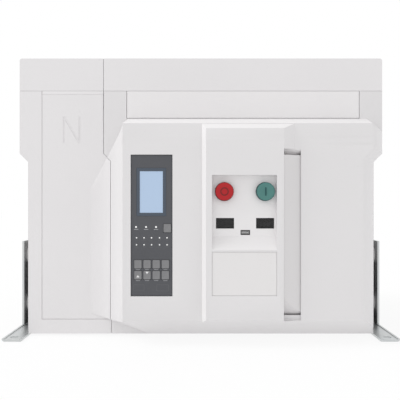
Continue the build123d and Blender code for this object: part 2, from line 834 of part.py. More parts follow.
with BuildPart() as flexible_links:
    for x in poles.values():
        with BuildSketch(Plane.YZ.offset(x)):
            with Locations((pivot_y, pivot_z)):
                Circle(finger_hub_radius + flex_gap + flex_thickness)
                Circle(finger_hub_radius + flex_gap, mode=Mode.SUBTRACT)
            reach = 2 * finger_hub_radius + flex_thickness
            with BuildLine(mode=Mode.PRIVATE) as wedge:
                Polyline(
                    (pivot_y, pivot_z),
                    (pivot_y, pivot_z - reach),
                    (pivot_y + reach, pivot_z - reach),
                    (pivot_y + reach * sin(radians(flex_wrap)), pivot_z - reach * cos(radians(flex_wrap))),
                    close=True,
                )
            make_face(wedge.edges(), mode=Mode.INTERSECT)
            foot_z = lower_bar_z + bar_thickness / 2
            with Locations((pivot_y + flex_reach / 2, foot_z + flex_thickness / 2)):
                Rectangle(flex_reach, flex_thickness)
        extrude(amount=flex_width / 2, both=True)
save(flexible_links, "flexible_links")

with BuildPart() as current_transformers:
    for x in poles.values():
        y = (base_back - base_wall - transformer_depth, base_back - base_wall)
        half_w, half_h = transformer_width / 2, transformer_height / 2
        block((x - half_w, x + half_w), y, (lower_bar_z - half_h, lower_bar_z + half_h))
    for x in poles.values():
        half_w = bar_width / 2 + transformer_gap
        half_h = bar_thickness / 2 + transformer_gap
        block((x - half_w, x + half_w), y, (lower_bar_z - half_h, lower_bar_z + half_h), Mode.SUBTRACT)
save(current_transformers, "current_transformers")

# Moving contacts: a comb of fingers on a pivot, drawn open. In their own plane the first value runs
# towards the fixed contact and the second up the finger, both from the pivot, as when they are shut.

swing = radians(contact_swing)
contact_reach = contact_face_y - contact_gap - pivot_y
finger_front = contact_reach - finger_thickness
lug_across = lug_arm * sin(swing / 2)
lug_up = lug_arm * cos(swing / 2)
lug_near = link_width / 2 + link_side_gap
lug_far = lug_near + lug_thickness
for name, x in poles.items():
    with BuildPart() as moving_contact:
        middle = Plane(origin=(x, pivot_y, pivot_z), x_dir=(0, cos(swing), sin(swing)), z_dir=(1, 0, 0))
        with BuildSketch(middle):
            Circle(finger_hub_radius)
            with Locations((contact_reach - finger_thickness / 2, finger_slope_top)):
                Rectangle(finger_thickness, finger_slope_band)
            make_hull()
            horn_foot = finger_top - pivot_z
            with Locations((contact_reach - finger_thickness / 2, (finger_slope_top + horn_foot) / 2)):
                Rectangle(finger_thickness, horn_foot - finger_slope_top)
            Polygon(
                (contact_reach, horn_foot - finger_horn),
                (contact_reach, horn_foot),
                (contact_reach - finger_horn, horn_foot + finger_horn),
                (contact_reach - finger_horn - horn_thickness, horn_foot + finger_horn - horn_thickness),
                (contact_reach - finger_thickness, horn_foot - finger_horn / 2),
                align=None,
            )
        extrude(amount=contact_width / 2, both=True)
        pitch = contact_width / finger_count
        with BuildSketch(middle) as gap_outline:
            with Locations((contact_reach - finger_thickness, finger_top - pivot_z)):
                Rectangle(4 * finger_thickness, 2 * (finger_top - pivot_z - finger_slope_top))
        for k in range(1, finger_count):
            gap_middle = -contact_width / 2 + k * pitch
            gap_plane = middle.offset(gap_middle)
            with BuildSketch(gap_plane):
                add(gap_outline.sketch_local)
            extrude(amount=finger_slot / 2, both=True, mode=Mode.SUBTRACT)
        for side in (-1, 1):
            with BuildSketch(middle.offset(side * (lug_near + lug_far) / 2)):
                with Locations((lug_across, lug_up)):
                    Circle(lug_radius)
                with Locations((finger_front + overshoot, lug_up)):
                    Rectangle(2 * overshoot, 3 * lug_radius)
                make_hull()
            extrude(amount=lug_thickness / 2, both=True)
        with BuildSketch(middle):
            with Locations((lug_across, lug_up)):
                Circle(crank_pin_radius)
        extrude(amount=lug_far, both=True)
        with BuildSketch(middle):
            Circle(pivot_radius)
        extrude(amount=cell_width / 2 + pivot_stub, both=True)
    save(moving_contact, f"moving_contact_{name}")

# Arc chutes, each hung by its flange on the walls of its cell, and the steel splitter plates in them

chute_y = (chute_front, chute_back)
for name, x in poles.items():
    half = chute_width / 2
    with BuildPart() as arc_chute:
        block((x - half, x + half), chute_y, (chute_bottom, chute_top))
        flange_x = (x - half - chute_flange_reach, x + half + chute_flange_reach)
        flange_y = (chute_front - chute_flange_reach, chute_back + chute_flange_reach)
        block(flange_x, flange_y, (cap_bottom, cap_bottom + chute_flange))
        inner_y = (chute_front + chute_wall, chute_back - chute_wall)
        inner_z = (chute_bottom, chute_top - chute_wall)
        block((x - half + chute_wall, x + half - chute_wall), inner_y, inner_z, Mode.SUBTRACT)
        with Locations((x, (chute_front + chute_back) / 2, chute_top)):
            with GridLocations(1, vent_pitch, 1, vent_count):
                Box(vent_length, vent_width, 4 * chute_wall, mode=Mode.SUBTRACT)
    save(arc_chute, f"arc_chute_{name}")

with BuildPart() as splitter_plates:
    half = chute_width / 2 - chute_wall - splitter_gap
    for x in poles.values():
        for k in range(splitter_count):
            y = (chute_front + chute_back) / 2 + (k - (splitter_count - 1) / 2) * splitter_pitch
            with BuildSketch(facing(y)):
                Polygon(
                    (x - half, splitter_bottom),
                    (x - splitter_notch / 2, splitter_bottom),
                    (x, splitter_bottom + splitter_notch),
                    (x + splitter_notch / 2, splitter_bottom),
                    (x + half, splitter_bottom),
                    (x + half, splitter_top),
                    (x - half, splitter_top),
                    align=None,
                )
            extrude(amount=splitter_thickness / 2, both=True)
save(splitter_plates, "splitter_plates")

# Main shaft with a pair of cranks for each pole, and the links from the cranks to the contacts

with BuildPart() as main_shaft:
    rod_x((-shaft_length / 2, shaft_length / 2), shaft_y, shaft_z, shaft_radius)
    for x in poles.values():
        for side in (-1, 1):
            middle = x + side * (lug_near + crank_thickness / 2)
            with BuildSketch(Plane.YZ.offset(middle)):
                with Locations((shaft_y, shaft_z)):
                    Circle(shaft_radius + crank_thickness)
                with Locations((crank_pin_y, crank_pin_z)):
                    Circle(crank_eye_radius)
                make_hull()
            extrude(amount=crank_thickness / 2, both=True)
        reach = lug_near + crank_thickness
        rod_x((x - reach, x + reach), crank_pin_y, crank_pin_z, crank_pin_radius)
save(main_shaft, "main_shaft")

link_along = Vector(0, open_lug_y - crank_pin_y, lug_z - crank_pin_z)
with BuildPart() as drive_links:
    for x in poles.values():
        far_radius = crank_pin_radius + link_open_gap + link_eye_wall
        with BuildSketch(Plane(origin=(x, crank_pin_y, crank_pin_z), x_dir=link_along, z_dir=(1, 0, 0))):
            with Locations((link_along.length / 2, 0)):
                Rectangle(link_along.length, link_height)
            Circle(crank_eye_radius)
            with Locations((link_along.length, 0)):
                Circle(far_radius)
            Circle(crank_pin_radius + running_gap, mode=Mode.SUBTRACT)
            with Locations((link_along.length, 0)):
                Circle(crank_pin_radius + link_open_gap, mode=Mode.SUBTRACT)
        extrude(amount=link_width / 2, both=True)
save(drive_links, "drive_links")

# Frame of the stored-energy mechanism: two side plates, cross rods, a shelf for the release coils and
# the two seats of the closing spring, all welded together

with BuildPart() as mechanism_frame:
    for left in (plate_left, plate_right):
        with BuildSketch(Plane.YZ.offset(left)):
            Polygon(
                (plate_front, plate_bottom),
                (partition_front, plate_bottom),
                (partition_front, plate_top),
                (shelf_front + plate_corner / 3, plate_top),
                (plate_front, plate_top - plate_corner),
                align=None,
            )
            with Locations((window_hole_y, window_hole_z)):
                Circle(window_hole_radius, mode=Mode.SUBTRACT)
        extrude(amount=plate_thickness)
    plates_x = (plate_left + plate_thickness, plate_right)
    for y, z in frame_rods:
        rod_x(plates_x, y, z, rod_radius)
    block(plates_x, (shelf_front, shelf_back), (shelf_z, shelf_z + shelf_thickness))
    seat = spring_radius + spring_wire + seat_margin
    for low in (spring_bottom - seat_plate_thickness, spring_top):
        seat_z = (low, low + seat_plate_thickness)
        block((spring_x - seat, plate_left), (spring_y - seat, spring_y + seat), seat_z)
    for x in ((plates_x[0], plates_x[0] + flange_width), (plates_x[1] - flange_width, plates_x[1])):
        block(x, (partition_front - plate_thickness, partition_front), (plate_bottom, shelf_z))
    through = (plate_left - overshoot, mechanism_side + overshoot)
    rod_x(through, shaft_y, shaft_z, shaft_radius + running_gap, Mode.SUBTRACT)
    rod_x(through, handle_pivot_y, handle_pivot_z, charging_shaft_radius + running_gap, Mode.SUBTRACT)
    rod_x(through, indicator_pivot_y, window_z, indicator_axle_radius + running_gap, Mode.SUBTRACT)
save(mechanism_frame, "mechanism_frame")

with BuildPart() as closing_spring:
    spring_foot = (spring_x, spring_y, spring_bottom + spring_wire + seat_gap)
    spring_rise = spring_top - spring_bottom - 2 * spring_wire - 2 * seat_gap
    with BuildLine() as coil:
        Helix(spring_rise / spring_turns, spring_rise, spring_radius, center=spring_foot)
    with BuildSketch(Plane(origin=coil.line @ 0, z_dir=coil.line % 0)):
        Circle(spring_wire)
    sweep(is_frenet=True)
save(closing_spring, "closing_spring")

# Charging shaft with its ratchet wheel and cam, and the charging handle that turns on the same shaft

with BuildPart() as charging_shaft:
    ends = (plate_left - shaft_stub, mechanism_side - running_gap)
    rod_x(ends, handle_pivot_y, handle_pivot_z, charging_shaft_radius)
    with BuildSketch(Plane.YZ.offset(ratchet_x)):
        with Locations((handle_pivot_y, handle_pivot_z)):
            Circle(ratchet_radius)
            with PolarLocations(ratchet_radius - overshoot, ratchet_teeth):
                Polygon((0, 0), (overshoot + ratchet_tooth, 0), (0, 1.5 * ratchet_tooth), align=None)
    extrude(amount=ratchet_thickness / 2, both=True)
    with BuildSketch(Plane.YZ.offset(cam_x)):
        with Locations((handle_pivot_y, handle_pivot_z)):
            Circle(cam_radius - cam_throw)
        with Locations((handle_pivot_y + cam_throw, handle_pivot_z)):
            Circle(cam_radius)
        make_hull()
    extrude(amount=cam_thickness / 2, both=True)
save(charging_shaft, "charging_shaft")

handle_nose = handle_pivot_y - handle_front
handle_x = (handle_slot_left + handle_gap, handle_slot_right - handle_gap)
with BuildPart() as charging_handle:
    with BuildSketch(Plane.YZ.offset(handle_x[0])):
        with Locations((handle_pivot_y, handle_pivot_z)):
            Circle(handle_nose)
            with Locations(((handle_hub_radius - handle_nose) / 2, 0)):
                Rectangle(handle_nose + handle_hub_radius, 2 * handle_nose, mode=Mode.INTERSECT)
        with Locations((handle_front + handle_thickness / 2, (handle_pivot_z + handle_top) / 2)):
            Rectangle(handle_thickness, handle_top - handle_pivot_z)
    extrude(amount=handle_x[1] - handle_x[0])
    # The front face slopes back to the right, and the lever is a channel, open at the back
    with BuildSketch(Plane.XY):
        Polygon(
            (handle_x[0], handle_front),
            (handle_x[1], handle_front + handle_slope),
            (handle_x[1], handle_front - overshoot),
            (handle_x[0], handle_front - overshoot),
            align=None,
        )
    extrude(amount=handle_top, mode=Mode.SUBTRACT)
    channel_x = (handle_x[0] + handle_wall, handle_x[1] - handle_wall)
    channel_y = (handle_front + handle_slope + handle_wall, handle_front + 2 * handle_thickness)
    channel_z = (handle_pivot_z + handle_nose, handle_top - handle_wall)
    block(channel_x, channel_y, channel_z, Mode.SUBTRACT)
    rod_x(handle_x, handle_pivot_y, handle_pivot_z, charging_shaft_radius + running_gap, Mode.SUBTRACT)
save(charging_handle, "charging_handle")

with BuildPart() as charging_motor:
    middle_y, middle_z = shaft_y - motor_offset_y, lower_bar_z
    gearbox_end = mechanism_side + gearbox_width
    gearbox_y = (middle_y - gearbox_depth / 2, middle_y + gearbox_depth / 2)
    gearbox_z = (middle_z - gearbox_height / 2, middle_z + gearbox_height / 2)
    block((mechanism_side, gearbox_end), gearbox_y, gearbox_z)
    fillet(charging_motor.edges().filter_by(Axis.X), motor_corner)
    rod_x((gearbox_end, gearbox_end + motor_length), middle_y, middle_z, motor_radius)
    fillet(charging_motor.faces().sort_by(Axis.X)[-1].edges(), motor_corner)
save(charging_motor, "charging_motor")

# Closing, shunt opening and undervoltage coils: a coil and plunger in a steel yoke, side by side

with BuildPart() as release_coils:
    middle = (plate_left + mechanism_side) / 2
    for k in (-1, 0, 1):
        x = middle + k * coil_pitch
        front = shelf_front + coil_yoke
        coil_z = shelf_z + shelf_thickness
        axis_z = coil_z + coil_height / 2
        yoke_x = (x - coil_width / 2, x + coil_width / 2)
        block(yoke_x, (front, front + coil_depth), (coil_z, coil_z + coil_height))
        gap_y = (front + coil_yoke, front + coil_depth - coil_yoke)
        block(yoke_x, gap_y, (coil_z + coil_yoke, coil_z + coil_height - coil_yoke), Mode.SUBTRACT)
        rod_y(x, gap_y, axis_z, coil_height / 2 - coil_yoke - coil_gap)
        rod_y(x, (front - plunger_reach, front), axis_z, plunger_radius)
save(release_coils, "release_coils")

with BuildPart() as auxiliary_switch:
    half_w, half_h = switch_width / 2, switch_height / 2
    switch_y = (partition_front - switch_depth, partition_front)
    block((switch_x - half_w, switch_x + half_w), switch_y, (switch_z - half_h, switch_z + half_h))
    with Locations((switch_x, switch_y[0], switch_z)):
        with GridLocations(switch_width / (switch_slot_count + 1), 1, switch_slot_count, 1):
            slot = switch_width / (2 * switch_slot_count)
            Box(slot, terminal_slot_depth, switch_height + 2 * overshoot, mode=Mode.SUBTRACT)
save(auxiliary_switch, "auxiliary_switch")

# Indicator drums behind the two windows: a sector of a drum on an axle held by the frame


def indicator_drum(window_x, axle):
    """A drum behind the window at window_x, with its web on the side that its axle runs out of."""
    half = window_width / 2 + indicator_margin
    wide = radians(indicator_half_angle)
    reach = 2 * indicator_radius
    web_side = 1 if axle[1] > window_x + half else -1
    with BuildPart() as piece:
        for rim, depth in ((indicator_radius - indicator_wall, 2 * half), (0, indicator_wall)):
            start = window_x - half if rim or web_side < 0 else window_x + half - indicator_wall
            with BuildSketch(Plane.YZ.offset(start)):
                with Locations((indicator_pivot_y, window_z)):
                    Circle(indicator_radius)
                    if rim:
                        Circle(rim, mode=Mode.SUBTRACT)
                    Polygon(
                        (0, 0),
                        (-reach * cos(wide), reach * sin(wide)),
                        (-reach, reach * sin(wide)),
                        (-reach, -reach * sin(wide)),
                        (-reach * cos(wide), -reach * sin(wide)),
                        align=None,
                        mode=Mode.INTERSECT,
                    )
            extrude(amount=depth)
        rod_x(axle, indicator_pivot_y, window_z, indicator_axle_radius)
    return piece


save(indicator_drum(off_window_x, (plate_left - shaft_stub, off_window_x)), "state_indicator")
save(indicator_drum(on_window_x, (on_window_x, mechanism_side + shaft_stub)), "spring_indicator")

with BuildPart() as operations_counter:
    half_w, half_h = counter_width / 2, counter_height / 2
    body_x = (counter_x - half_w - counter_rim, counter_x + half_w + counter_rim)
    body_z = (counter_z - half_h - counter_rim, counter_z + half_h + counter_rim)
    block(body_x, (floor_back, floor_back + counter_depth), body_z)
    snout_x = (counter_x - half_w + counter_gap, counter_x + half_w - counter_gap)
    snout_z = (counter_z - half_h + counter_gap, counter_z + half_h - counter_gap)
    block(snout_x, (pocket_floor + counter_inset, floor_back), snout_z)
save(operations_counter, "operations_counter")

# Push buttons, with a dished head and a stem

for name, x in (("off_button", off_button_x), ("on_button", on_button_x)):
    with BuildPart() as button:
        front = pocket_floor - button_proud
        rod_y(x, (front, floor_back + button_proud), button_z, button_radius)
        chamfer(button.faces().sort_by(Axis.Y)[0].edges(), button_dish_depth / 2)
        rod_y(x, (front, front + button_stem_length + button_proud), button_z, button_stem_radius)
        with Locations((x, front - button_dish_radius + button_dish_depth, button_z)):
            Sphere(button_dish_radius, mode=Mode.SUBTRACT)
    save(button, name)

with BuildPart() as label_plate:
    floor = block_front + label_recess
    label_x = (pocket_left + label_gap, pocket_right - label_gap)
    block(label_x, (floor - label_thickness, floor), (label_bottom + label_gap, label_top - label_gap))
save(label_plate, "label_plate")

with BuildPart() as secondary_terminals:
    middle = (terminal_cover_left + terminal_cover_right) / 2
    half = terminal_slot_pitch * (terminal_slot_count + 1) / 2
    middle_z = (terminal_cover_bottom + cap_bottom - wall) / 2
    block_z = (middle_z - terminal_block_height / 2, middle_z + terminal_block_height / 2)
    block((middle - half, middle + half), (terminal_block_front, partition_front), block_z)
    with Locations((middle, terminal_block_front, middle_z)):
        with GridLocations(terminal_slot_pitch, 1, terminal_slot_count, 1):
            Box(terminal_slot_width, 2 * terminal_slot_depth, terminal_slot_height, mode=Mode.SUBTRACT)
save(secondary_terminals, "secondary_terminals")

# Trip unit: its case on two arms, its face panel, the display window and nine keys

keys = [
    (key_centre_x + (column - 1.5) * key_pitch_x, key_centre_z + (0.5 - row) * key_pitch_z)
    for row in range(2)
    for column in range(4)
]
keys.append((reset_key_x, reset_key_z))

with BuildPart() as trip_unit_case:
    case_x = (trip_left + trip_case_inset, trip_right - trip_case_inset)
    case_z = (trip_bottom + trip_case_inset, trip_top - trip_case_inset)
    block(case_x, (trip_panel_back, trip_case_back), case_z)
    middle = (trip_left + trip_right) / 2
    arm_x = (middle - trip_arm_width / 2, middle + trip_arm_width / 2)
    for low in (case_z[0] + trip_arm_inset, case_z[1] - trip_arm_inset - trip_arm_height):
        block(arm_x, (trip_case_back, partition_front), (low, low + trip_arm_height))
save(trip_unit_case, "trip_unit_case")

with BuildPart() as trip_unit_panel:
    block((trip_left, trip_right), (trip_panel_front, trip_panel_back), (trip_bottom, trip_top))
    seat_x = (display_left - display_gap, display_right + display_gap)
    seat_z = (display_bottom - display_gap, display_top + display_gap)
    block(seat_x, (trip_panel_front, trip_panel_front + display_thickness), seat_z, Mode.SUBTRACT)
    for x, z in keys:
        half_w, half_h = key_width / 2 + key_gap, key_height / 2 + key_gap
        hole_z = (z - half_h, z + half_h)
        block((x - half_w, x + half_w), (trip_panel_front, trip_panel_back), hole_z, Mode.SUBTRACT)
save(trip_unit_panel, "trip_unit_panel")

with BuildPart() as display_window:
    glass_y = (trip_panel_front, trip_panel_front + display_thickness)
    block((display_left, display_right), glass_y, (display_bottom, display_top))
save(display_window, "display_window")

for number, (x, z) in enumerate(keys, start=1):
    with BuildPart() as key:
        with BuildSketch(facing(trip_panel_front - key_proud + key_thickness)):
            with Locations((x, z)):
                RectangleRounded(key_width, key_height, key_corner)
        extrude(amount=key_thickness)
        chamfer(key.faces().sort_by(Axis.Y)[0].edges(), key_proud / 2)
    save(key, f"key_{number}")
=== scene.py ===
import json
from math import atan2, hypot, radians

import bpy
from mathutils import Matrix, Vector


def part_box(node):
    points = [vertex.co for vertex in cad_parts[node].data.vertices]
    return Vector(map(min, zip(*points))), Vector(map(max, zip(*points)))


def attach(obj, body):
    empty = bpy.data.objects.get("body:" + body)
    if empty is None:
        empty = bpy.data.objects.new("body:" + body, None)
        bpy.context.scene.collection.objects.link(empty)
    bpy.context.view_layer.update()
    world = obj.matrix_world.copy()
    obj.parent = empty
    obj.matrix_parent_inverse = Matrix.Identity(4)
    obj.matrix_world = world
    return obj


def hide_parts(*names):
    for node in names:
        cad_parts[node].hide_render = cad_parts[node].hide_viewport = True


# Four-pole air circuit breaker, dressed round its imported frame. X runs to the right, Y to the back and Z
# up, and the front faces -Y. Sizes are written in millimetres, as on a drawing; Blender has metres.

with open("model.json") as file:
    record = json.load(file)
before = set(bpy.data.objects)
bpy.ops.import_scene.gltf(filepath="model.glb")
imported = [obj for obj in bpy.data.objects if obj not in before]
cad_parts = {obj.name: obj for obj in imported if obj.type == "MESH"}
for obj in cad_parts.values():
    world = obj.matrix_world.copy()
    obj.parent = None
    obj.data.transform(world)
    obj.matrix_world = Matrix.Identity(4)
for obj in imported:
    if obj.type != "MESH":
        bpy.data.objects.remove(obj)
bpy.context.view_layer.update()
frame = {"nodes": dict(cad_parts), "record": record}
nodes = frame["nodes"]
mm = 0.001

# Camera: level, on the axis that the front's edges run to, with a normal lens

camera_side, camera_distance, camera_height = -1.3, 916, 196.7
camera_data = bpy.data.cameras.new("camera")
camera_data.lens = 50
camera_data.sensor_width = 36
camera = bpy.data.objects.new("camera", camera_data)
camera.location = (camera_side * mm, -camera_distance * mm, camera_height * mm)
camera.rotation_euler = (radians(90), 0, 0)
bpy.context.scene.collection.objects.link(camera)
bpy.context.scene.camera = camera
bpy.context.scene.view_settings.view_transform = "Standard"


# Shaders are written as sums on sockets. The scale of a noise is its number of features per metre


class Value:
    """A socket of a shader. Sums on it add the Math nodes that work them out."""

    def __init__(self, shader, socket):
        self.shader = shader
        self.socket = socket

    def beside(self, name):
        """Another output of the same node."""
        return Value(self.shader, self.socket.node.outputs[name])

    def maths(self, operation, first, second):
        return self.shader.node("ShaderNodeMath", {"operation": operation}, [first, second])

    def __add__(self, other):
        return self.maths("ADD", self, other)

    def __radd__(self, other):
        return self.maths("ADD", other, self)

    def __mul__(self, other):
        return self.maths("MULTIPLY", self, other)

    def __rmul__(self, other):
        return self.maths("MULTIPLY", other, self)

    def __gt__(self, other):
        return self.maths("GREATER_THAN", self, other)

    def __lt__(self, other):
        return self.maths("LESS_THAN", self, other)


class Shader:
    """A node tree, emptied and built up again."""

    def __init__(self, tree):
        self.tree = tree
        self.tree.nodes.clear()

    def node(self, kind, settings=None, inputs=(), output=0):
        """Add a node: its settings first, then the values or links of its sockets."""
        made = self.tree.nodes.new(kind)
        for name, value in (settings or {}).items():
            setattr(made, name, value)
        pairs = inputs.items() if isinstance(inputs, dict) else enumerate(inputs)
        for name, value in pairs:
            if isinstance(value, Value):
                self.tree.links.new(value.socket, made.inputs[name])
            else:
                made.inputs[name].default_value = value
        return Value(self, made.outputs[output]) if len(made.outputs) else None


class Finish(Shader):
    """A procedural material, named for what it finishes."""

    def __init__(self, name):
        self.material = bpy.data.materials.new(name)
        self.material.use_nodes = True
        super().__init__(self.material.node_tree)

    def place(self, stretch=(1, 1, 1)):
        """Where a point lies on the object, with the axes stretched for a grain that runs one way."""
        point = self.node("ShaderNodeTexCoord", output="Object")
        return self.node("ShaderNodeMapping", inputs={"Vector": point, "Scale": stretch})

    def noise(self, scale, detail=2.0, stretch=(1, 1, 1)):
        sockets = {"Vector": self.place(stretch), "Scale": scale, "Detail": detail}
        return self.node("ShaderNodeTexNoise", inputs=sockets)

    def mixed(self, share, first, second):
        """Two colours mixed by a share, on the sockets that a Mix node has for colours."""
        return self.node("ShaderNodeMix", {"data_type": "RGBA"}, {0: share, 6: first, 7: second}, 2)

    def relief(self, height, depth, below=None):
        """A bump of the given depth in metres, on top of another one if given."""
        sockets = {"Height": height, "Distance": depth, "Strength": 1.0}
        if below:
            sockets["Normal"] = below
        return self.node("ShaderNodeBump", inputs=sockets)

    def coated(self, sockets):
        """Close the finish with its surface shader."""
        surface = self.node("ShaderNodeBsdfPrincipled", inputs=sockets)
        self.node("ShaderNodeOutputMaterial", inputs={"Surface": surface})
        return self.material


def shade(colour, change):
    """A colour made lighter or darker by a factor."""
    return (colour[0] * change, colour[1] * change, colour[2] * change, 1)


def moulded(name, colour, roughness, grain=1600, depth=0.00002):
    """Moulded plastic with the fine texture of its spark-eroded mould and slow flow marks."""
    drift, speck_limit, speck_strength = 0.025, 0.71, 0.12
    finish = Finish(name)
    flow = finish.noise(7, 3)
    texture = finish.noise(grain, 2)
    speck = finish.noise(420, 1)
    tone = finish.mixed(flow, shade(colour, 1 - drift), shade(colour, 1 + drift))
    tone = finish.mixed((speck > speck_limit) * speck_strength, tone, shade(colour, 0.8))
    return finish.coated({
        "Base Color": tone,
        "Roughness": texture * 0.14 + flow * 0.06 + (roughness - 0.1),
        "Normal": finish.relief(texture, depth, finish.relief(flow, depth * 4)),
        "IOR": 1.48,
    })


def glossy(name, colour, roughness, coat):
    """Smooth moulded plastic with faint handling marks in its polish."""
    finish = Finish(name)
    marks = finish.noise(160, 4)
    flow = finish.noise(30, 2)
    return finish.coated({
        "Base Color": finish.mixed(flow, shade(colour, 0.93), shade(colour, 1.05)),
        "Roughness": marks * 0.16 + (roughness - 0.08),
        "Normal": finish.relief(finish.noise(900, 2), 0.00001),
        "IOR": 1.4,
        "Coat Weight": coat,
        "Coat Roughness": 0.18,
    })


def plated(name, colour, roughness, stretch=(1, 1, 1), grain=260, metallic=0.9, warm=(1.04, 1.0, 0.94)):
    """Plated or rolled metal, with its grain drawn along the sheet and a drift of tint in the plating."""
    finish = Finish(name)
    streak = finish.noise(grain, 3, stretch)
    cloud = finish.noise(16, 4)
    tinted_colour = [part * tint for part, tint in zip(colour, warm)]
    tone = finish.mixed(cloud, shade(colour, 1), shade(tinted_colour, 1))
    tone = finish.mixed(streak * 0.35, tone, shade(colour, 0.8))
    return finish.coated({
        "Base Color": tone,
        "Metallic": metallic,
        "Roughness": streak * 0.2 + cloud * 0.12 + (roughness - 0.14),
        "Normal": finish.relief(streak, 0.00002),
    })


def laminated(name, colour, foils, axis):
    """Copper foils of a flexible link: fine dark lines between the foils."""
    line, line_strength = 0.2, 0.6
    finish = Finish(name)
    cloud = finish.noise(40, 4)
    bands = {"wave_type": "BANDS", "bands_direction": axis}
    foil = finish.node("ShaderNodeTexWave", bands, {"Vector": finish.place(), "Scale": foils})
    tone = finish.mixed(cloud, shade(colour, 0.85), shade(colour, 1.1))
    return finish.coated({
        "Base Color": finish.mixed((foil < line) * line_strength, tone, shade(colour, 0.35)),
        "Metallic": 0.95,
        "Roughness": cloud * 0.2 + 0.28,
        "Normal": finish.relief(foil, 0.0001),
    })


def screen(name, colour):
    """The lit face of the display, with the faint grid of its picture points."""
    points_per_metre, line, line_strength = 1600, 0.14, 0.04
    finish = Finish(name)
    point = finish.node("ShaderNodeTexCoord", output="Object")
    across = finish.node("ShaderNodeSeparateXYZ", inputs=[point])
    lines = []
    for way in (across, across.beside("Z")):
        cell = finish.node("ShaderNodeMath", {"operation": "FRACT"}, [way * points_per_metre])
        lines.append(cell < line)
    grid = finish.node("ShaderNodeMath", {"operation": "MAXIMUM"}, lines)
    tone = finish.mixed(finish.noise(22, 2), shade(colour, 1.0), shade(colour, 1.01))
    return finish.coated({
        "Base Color": finish.mixed(grid * line_strength, tone, shade(colour, 0.8)),
        "Roughness": finish.noise(300, 3) * 0.04 + 0.3,
        "Coat Weight": 0.4,
        "Coat Roughness": 0.08,
    })


def lamp_lens(name, colour):
    """A small clear lamp lens that glows a little."""
    finish = Finish(name)
    bright = finish.noise(900, 2)
    tone = finish.mixed(bright, shade(colour, 0.9), shade(colour, 1.0))
    return finish.coated({
        "Base Color": tone,
        "Roughness": bright * 0.1 + 0.2,
        "Emission Color": tone,
        "Emission Strength": 0.25,
    })


def pane(name, colour, cover):
    """A thin tinted window that hides part of what lies behind it."""
    finish = Finish(name)
    marks = finish.noise(240, 3)
    return finish.coated({
        "Base Color": finish.mixed(marks, shade(colour, 0.9), shade(colour, 1.1)),
        "Roughness": marks * 0.1 + 0.12,
        "Alpha": marks * 0.04 + cover,
    })


finishes = {
    "moulded_grey": moulded("cover_moulding", (0.745, 0.732, 0.738), 0.52),
    "moulded_base": moulded("base_moulding", (0.70, 0.69, 0.69), 0.58, grain=1100, depth=0.00004),
    "handle_grey": moulded("handle_moulding", (0.69, 0.675, 0.68), 0.5),
    "label_white": moulded("label_film", (0.77, 0.755, 0.755), 0.38, grain=2400, depth=0.000006),
    "trip_dark": moulded("trip_unit_moulding", (0.080, 0.0825, 0.092), 0.5, grain=2200),
    "key_grey": moulded("key_rubber", (0.215, 0.215, 0.222), 0.62, grain=2600, depth=0.00001),
    "black_moulding": moulded("black_moulding", (0.03, 0.03, 0.031), 0.5),
    "indicator_black": moulded("drum_black", (0.022, 0.021, 0.022), 0.6),
    "counter_black": moulded("counter_black", (0.05, 0.048, 0.049), 0.45),
    "chute_insulation": moulded("arc_chute_moulding", (0.5, 0.46, 0.38), 0.7, grain=700, depth=0.00006),
    "zinc_steel": plated("zinc_plated_sheet", (0.62, 0.65, 0.67), 0.36, (1, 1, 0.12)),
    "zinc_bolts": plated("zinc_plated_bolts", (0.62, 0.63, 0.64), 0.3, grain=500),
    "frame_steel": plated("mechanism_plate", (0.56, 0.58, 0.6), 0.4, (1, 0.1, 1)),
    "shaft_steel": plated("turned_steel", (0.45, 0.46, 0.48), 0.3, (6, 1, 1), 200),
    "spring_steel": plated("spring_wire", (0.18, 0.18, 0.19), 0.35),
    "coil_yoke": plated("coil_yoke_steel", (0.5, 0.51, 0.53), 0.4),
    "chute_steel": plated("splitter_steel", (0.48, 0.47, 0.46), 0.42, (1, 1, 0.2)),
    "motor_grey": plated("painted_gearbox", (0.2, 0.21, 0.22), 0.45, metallic=0.1, warm=(1, 1, 1)),
    "tinned_copper": plated(
        "tinned_bar", (0.7, 0.69, 0.67), 0.34, (1, 0.08, 1), 320, warm=(1.02, 0.99, 0.93),
    ),
    "bare_copper": laminated("copper_foils", (0.78, 0.4, 0.26), 260, "Z"),
    "button_red": glossy("red_button", (0.43, 0.008, 0.012), 0.45, 0.05),
    "button_green": glossy("green_button", (0.074, 0.212, 0.194), 0.42, 0.1),
    "display_blue": glossy("display_border", (0.062, 0.08, 0.108), 0.2, 0.3),
}
display_face = screen("display_face", (0.44, 0.57, 0.76))
lamp_white = lamp_lens("lamp_lens", (0.85, 0.85, 0.84))
print_grey = moulded("panel_print", (0.36, 0.365, 0.38), 0.5, grain=3000, depth=0.000004)
print_faint = moulded("faint_print", (0.135, 0.137, 0.147), 0.5, grain=3000, depth=0.000004)
print_white = moulded("white_print", (0.78, 0.78, 0.78), 0.45, grain=3000, depth=0.000004)
cover_pale = moulded("cover_moulding_pale", (0.775, 0.76, 0.767), 0.52)
# A lighter copy of the cover moulding, used for the whole terminal cover and, as painted light, for parts of
# the front cover
cover_lighter_and_painted_light = moulded("cover_moulding_lighter_and_painted_light", (0.81, 0.795, 0.80), 0.52)
# Painted light for the finger scoop: lighter than the cover, against the scoop's own shade
cover_scoop_painted_light = moulded("cover_moulding_scoop_painted_light", (0.93, 0.915, 0.92), 0.52)
# Darker zinc: painted shade for the sides of the brackets that face the body
zinc_painted_shade = plated("zinc_painted_shade_side", (0.4, 0.415, 0.43), 0.4, (1, 1, 0.12))
wheel_white = moulded("counter_wheels", (0.66, 0.66, 0.66), 0.45, grain=2400, depth=0.000006)
flag_red = glossy("flag_red", (0.5, 0.03, 0.03), 0.45, 0.0)
flag_yellow = glossy("flag_yellow", (0.72, 0.47, 0.03), 0.45, 0.0)
